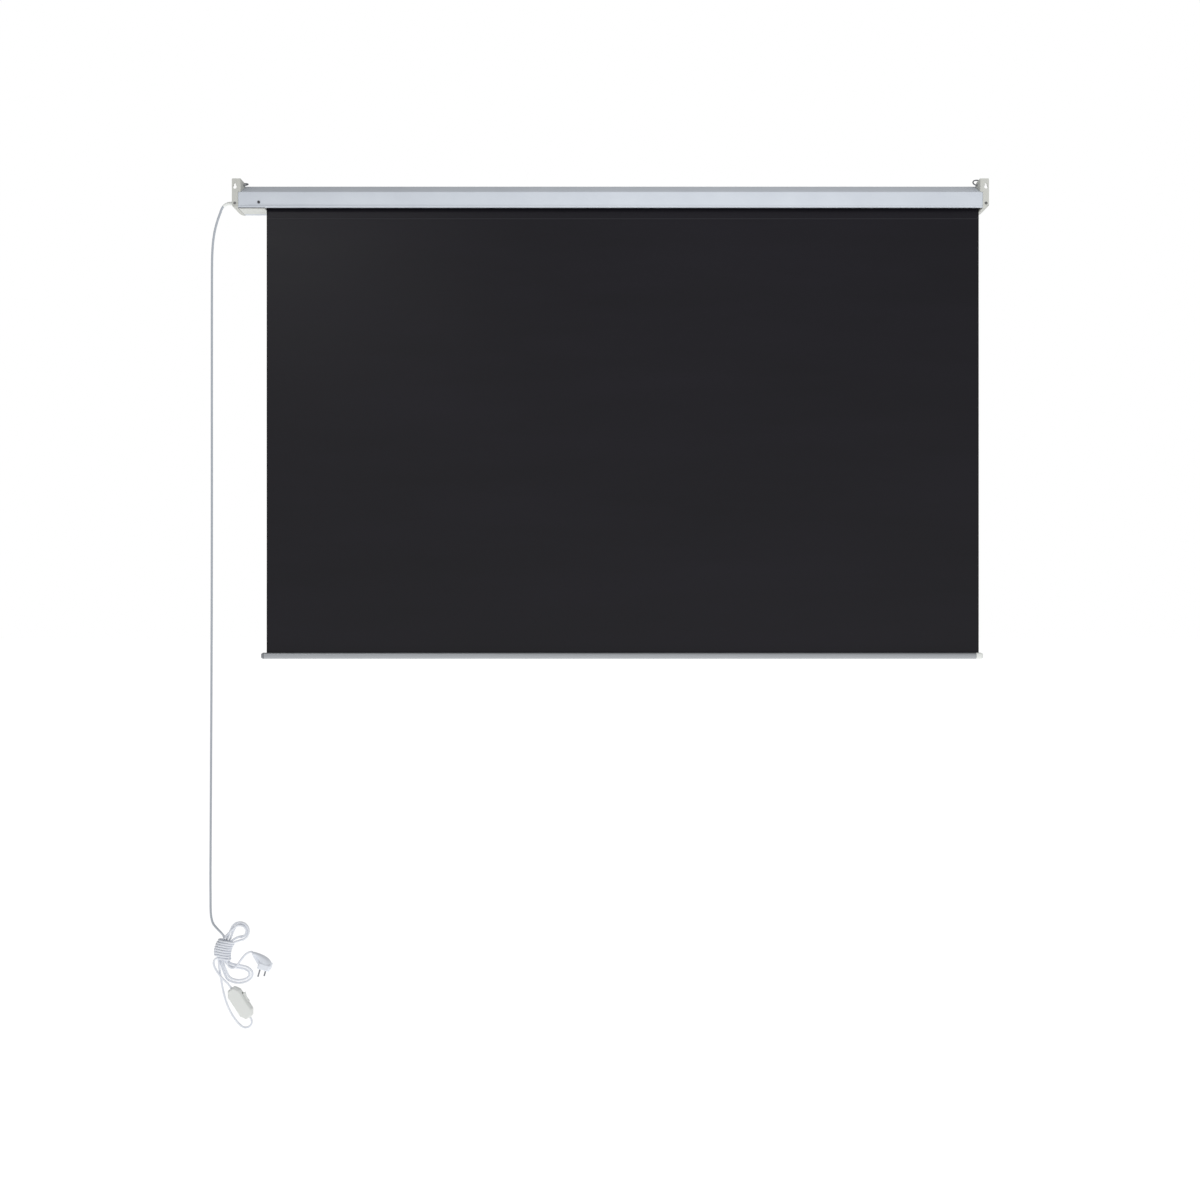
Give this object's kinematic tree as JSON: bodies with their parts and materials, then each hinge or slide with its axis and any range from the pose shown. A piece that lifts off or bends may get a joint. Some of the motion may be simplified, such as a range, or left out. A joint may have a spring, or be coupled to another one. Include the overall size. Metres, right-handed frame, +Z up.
{
  "type": "motorised projection screen",
  "caption": "Roll-down projection screen in a long wall case with end caps, keyhole flanges, ceiling rings, motorised roller, bottom bar and a wrapped power cord with inline switch and plug.",
  "frame": {"origin": "midway between the two keyhole seats, in the plane of the wall", "axes": "+X along the case towards the motor and its cord, +Y towards the wall, so the viewing side faces -Y, +Z up"},
  "size_m": [1.8615, 0.074, 2.0343],
  "materials": {
    "case_paint": "satin pale grey powder coat",
    "cap_plastic": "fine moulded texture",
    "cover_plastic": "satin",
    "zinc_steel": "zinc plated",
    "dark_steel": "blackened",
    "bar_aluminium": "satin anodised",
    "white_plastic": "soft gloss",
    "grey_plastic": "satin",
    "black_plastic": "satin",
    "black_fabric": "coated cloth, black on the wall side",
    "cord_jacket": "smooth white sheath"
  },
  "bodies": {
    "case": {"case_shell": "case_paint", "motor_end_cap": "cap_plastic", "idler_end_cap": "cap_plastic", "slot_cover": "cover_plastic", "cap_screw_motor": "dark_steel", "cap_screw_idler": "dark_steel", "case_screw": "dark_steel", "motor_bracket": "zinc_steel", "motor_head": "black_plastic", "motor_tube": "zinc_steel", "idler_bush": "white_plastic", "screen_fabric": "black_fabric", "cable_gland": "white_plastic", "motor_cable": "cord_jacket", "power_cord_drop": "cord_jacket", "motor_cord_hank": "cord_jacket", "switch_lead": "cord_jacket", "switch_outlet_cord": "cord_jacket", "plug_cord_hank": "cord_jacket", "plug_lead": "cord_jacket", "switch_base": "white_plastic", "switch_cover": "white_plastic", "plug_body": "white_plastic", "plug_pin_1": "zinc_steel", "plug_pin_2": "zinc_steel"},
    "roller": {"roller_tube": "bar_aluminium", "limit_ring": "grey_plastic", "drive_crown": "grey_plastic", "idler_plug": "grey_plastic", "idler_pin": "zinc_steel", "fabric_roll": "black_fabric"},
    "screen": {"bottom_bar": "bar_aluminium", "bar_cap_motor": "grey_plastic", "bar_cap_idler": "white_plastic", "bar_rod": "zinc_steel"},
    "ring_motor": {"ceiling_ring_motor": "zinc_steel"},
    "ring_idler": {"ceiling_ring_idler": "zinc_steel"},
    "limit_up": {"limit_screw_up": "white_plastic"},
    "limit_down": {"limit_screw_down": "cover_plastic"},
    "rocker": {"switch_rocker": "white_plastic"}
  },
  "joints": [
    {"name": "screen_slide", "type": "slide", "parent": "case", "child": "screen", "axis": [0, 0, 1], "range_m": [0, 1.0529], "deforming": ["screen_fabric"]},
    {"name": "roller_turn", "type": "hinge", "parent": "case", "child": "roller", "pos_m": [0, -0.04, -0.028], "axis": [1, 0, 0], "range_deg": [0, 2806]},
    {"name": "ring_motor_swing", "type": "hinge", "parent": "case", "child": "ring_motor", "pos_m": [0.8788, -0.024, 0.005], "axis": [1, 0, 0], "range_deg": [-115, 10]},
    {"name": "ring_idler_swing", "type": "hinge", "parent": "case", "child": "ring_idler", "pos_m": [-0.8788, -0.024, 0.005], "axis": [1, 0, 0], "range_deg": [-90, 35]},
    {"name": "limit_up_turn", "type": "hinge", "parent": "case", "child": "limit_up", "pos_m": [0.865, -0.0505, -0.021], "axis": [1, 0, 0], "continuous": true},
    {"name": "limit_down_turn", "type": "hinge", "parent": "case", "child": "limit_down", "pos_m": [0.865, -0.0505, -0.035], "axis": [1, 0, 0], "continuous": true},
    {"name": "rocker_tilt", "type": "hinge", "parent": "case", "child": "rocker", "pos_m": [0.87736, -0.026, -1.93947], "axis": [0, 1, 0], "range_deg": [0, 16]}
  ],
  "couplings": [
    {"joint": "roller_turn", "follows": "screen_slide", "rad_per_m": 46.5}
  ]
}
